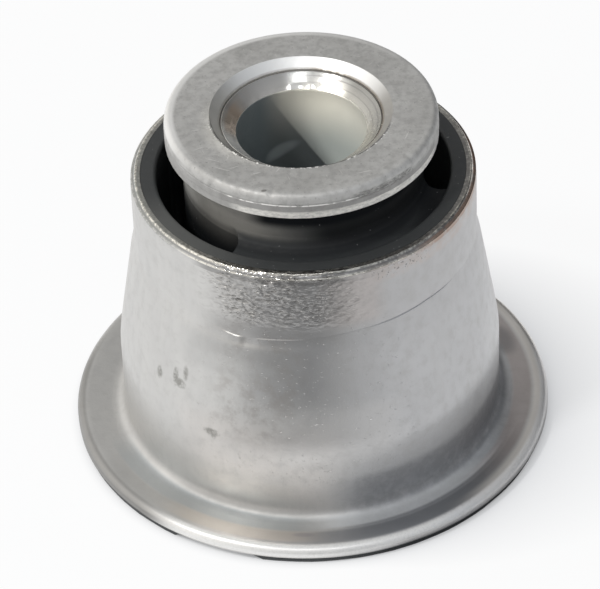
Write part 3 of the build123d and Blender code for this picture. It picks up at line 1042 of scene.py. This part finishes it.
# ---- floor -----------------------------------------------------------------
FLOOR_HALF = 3.0
FLOOR_GLOW = 0.90
# distances from the axis in metres: where a mirrored shade starts, and how far it runs
FRONT_SHADE = (0.042, 0.008)
NEAR_SHADE = (0.0405, 0.0075)
# foot of the part on the floor, and the width of its shadow
CONTACT_R = 0.0310
SHADOW_WIDTH = 0.0016
SHADOW_WIDER_RIGHT = 0.022

floor_mesh = bpy.data.meshes.new("floor")
corners = [(FLOOR_HALF * i, FLOOR_HALF * j, 0) for i, j in ((-1, -1), (1, -1), (1, 1), (-1, 1))]
floor_mesh.from_pydata(corners, [], [(0, 1, 2, 3)])
floor = add_object("floor", floor_mesh)
floor_material = bpy.data.materials.new("floor_white")
floor_material.use_nodes = True
nodes = Nodes(floor_material.node_tree)
nodes.tree.nodes.clear()
matte = nodes.new("ShaderNodeBsdfDiffuse")
matte.inputs["Color"].default_value = (0.93, 0.95, 0.98, 1)
glow = nodes.new("ShaderNodeEmission")
glow.inputs["Color"].default_value = (1, 1, 1, 1)
rays = nodes.new("ShaderNodeLightPath").outputs
in_mirror = rays["Is Glossy Ray"]
direct = nodes.most([rays["Is Camera Ray"], in_mirror, rays["Is Transmission Ray"]])
split = nodes.new("ShaderNodeSeparateXYZ")
nodes.link(nodes.new("ShaderNodeTexCoord").outputs["Object"], split.inputs[0])
x, y = split.outputs[0], split.outputs[1]
away = nodes.math("SQRT", nodes.plus(nodes.both(x, x), nodes.both(y, y)))
away = nodes.most([away, 0.001])


def towards(east, north):
    """Cosine of the angle between a point of the floor and a direction."""
    return nodes.math("DIVIDE", nodes.plus(nodes.both(x, east), nodes.both(y, north)), away)


# the camera sees plain white; the steel mirrors a floor that is darker beyond the front
# edge of the picture and to the right, and darkest close to the part at the front right
beyond = nodes.math("DIVIDE", nodes.minus(away, FRONT_SHADE[0]), FRONT_SHADE[1], clamp=True)
lean = nodes.both(towards(-0.94, 0.34), 0.22)
ahead = nodes.most([towards(-0.12, -0.993), 0.0])
dark = nodes.both(nodes.math("POWER", ahead, 5.0), 0.66)
level = nodes.both(beyond, nodes.minus(lean, dark))
lee = nodes.math("DIVIDE", nodes.minus(towards(0.78, -0.62), 0.60), 0.28, clamp=True)
near = nodes.math("DIVIDE", nodes.minus(NEAR_SHADE[0], away), NEAR_SHADE[1], clamp=True)
near = nodes.both(near, nodes.both(lee, 0.95))
level = nodes.math("MINIMUM", nodes.minus(level, near), 0.0)
nodes.link(nodes.plus(nodes.both(level, in_mirror), 1.0), glow.inputs["Strength"])
# close to the part the floor glows less, so that its shadow shows
rightward = nodes.most([nodes.math("DIVIDE", x, away), 0.0])
width = nodes.both(nodes.math("POWER", rightward, 2.0), SHADOW_WIDER_RIGHT)
width = nodes.plus(width, SHADOW_WIDTH)
open_floor = nodes.math("DIVIDE", nodes.minus(away, CONTACT_R), width, clamp=True)
open_floor = nodes.plus(nodes.both(nodes.math("POWER", open_floor, 0.42), 0.80), 0.20)
open_floor = nodes.most([open_floor, in_mirror])
blend = nodes.new("ShaderNodeMixShader")
nodes.link(nodes.both(nodes.both(direct, FLOOR_GLOW), open_floor), blend.inputs[0])
nodes.link(matte.outputs[0], blend.inputs[1])
nodes.link(glow.outputs[0], blend.inputs[2])
nodes.link(blend.outputs[0], nodes.new("ShaderNodeOutputMaterial").inputs[0])
floor_mesh.materials.append(floor_material)

# ---- light -----------------------------------------------------------------
# soft panels round the part: direction, level, tone
PANELS = [
    ((-1.0, 0.0, 0.25), 0.66, (1.0, 0.975, 0.94)),
    ((-0.7, -0.7, 0.25), 0.78, (1.0, 0.98, 0.95)),
    ((0.0, -1.0, 0.3), 0.12, (0.97, 0.99, 1.02)),
    ((0.7, -0.7, 0.25), 0.14, (0.93, 0.98, 1.05)),
    ((1.0, 0.0, 0.25), 0.13, (0.92, 0.98, 1.06)),
    ((0.0, 0.77, 0.64), 0.10, (1.0, 0.99, 0.96)),
    ((-0.7, 0.7, 0.5), 0.83, (1.0, 0.985, 0.96)),
    ((0.0, 0.0, 1.0), 0.36, (0.97, 0.99, 1.02)),
    ((0.42, -0.42, 0.81), 0.36, (0.95, 0.99, 1.04)),
]
PANEL_FOCUS = 4.0
LAMP_DISTANCE = 0.9
LAMP_TARGET = Vector((0, 0, 0.03))
# narrow beam into the bore
BEAM = Vector((-0.643, -0.349, 0.682))
BEAM_TARGET = Vector((0.00105, 0.00057, 0.0455))

scene = bpy.context.scene
scene.view_settings.view_transform = "Standard"
world = bpy.data.worlds.new("studio")
scene.world = world
world.use_nodes = True
world_nodes = Nodes(world.node_tree)
view = world_nodes.new("ShaderNodeTexCoord").outputs["Generated"]
sky = None
for direction, strength, tone in PANELS:
    facing = world_nodes.vector("DOT_PRODUCT", view, Vector(direction).normalized())
    facing = world_nodes.math("POWER", world_nodes.most([facing, 0.0]), PANEL_FOCUS)
    panel = world_nodes.vector("SCALE", Vector(tone) * strength, scale=facing)
    sky = panel if sky is None else world_nodes.vector("ADD", sky, panel)
world_nodes.link(sky, world_nodes.tree.nodes["Background"].inputs["Color"])


def hang(lamp, place, direction):
    """Put a lamp in its place, shining back along a direction."""
    lamp.location = place
    lamp.rotation_euler = Vector(direction).to_track_quat("Z", "Y").to_euler()


def soft_light(name, direction, size, power, tone):
    data = bpy.data.lights.new(name, "AREA")
    data.shape = "DISK"
    data.size = size
    data.energy = power
    data.color = tone
    place = Vector(direction).normalized() * LAMP_DISTANCE + LAMP_TARGET
    hang(add_object(name, data), place, direction)


soft_light("key", (-0.498, -0.349, 0.796), 0.11, 1.9, (1.0, 0.985, 0.955))
soft_light("second", (0.0, -0.51, 0.862), 0.20, 0.48, (1.0, 1.0, 1.0))
beam_data = bpy.data.lights.new("bore_beam", "SPOT")
beam_data.energy = 102.0
beam_data.color = (1.0, 0.965, 0.86)
beam_data.spot_size = math.radians(1.12)
beam_data.spot_blend = 0.18
beam_data.shadow_soft_size = 0.002
beam = add_object("bore_beam", beam_data)
hang(beam, BEAM * LAMP_DISTANCE + BEAM_TARGET, BEAM)
beam.scale = (1.0, 0.68, 1.0)

# ---- camera ----------------------------------------------------------------
ELEVATION = math.radians(39.86)
ROLL_ANGLE = math.radians(-2.48)
CAMERA_AT = Vector((-1.098, -403.172, 355.507)) * MM
camera_data = bpy.data.cameras.new("camera")
camera_data.sensor_width = 36.0
camera_data.lens = 240.0
camera = add_object("camera", camera_data)
forward = Vector((0, math.cos(ELEVATION), -math.sin(ELEVATION)))
right = Vector((1, 0, 0))
up = Vector((0, math.sin(ELEVATION), math.cos(ELEVATION)))
right_rolled = right * math.cos(ROLL_ANGLE) + up * math.sin(ROLL_ANGLE)
up_rolled = up * math.cos(ROLL_ANGLE) - right * math.sin(ROLL_ANGLE)
axes = Matrix((right_rolled, up_rolled, -forward)).transposed()
camera.matrix_world = Matrix.Translation(CAMERA_AT) @ axes.to_4x4()
scene.camera = camera
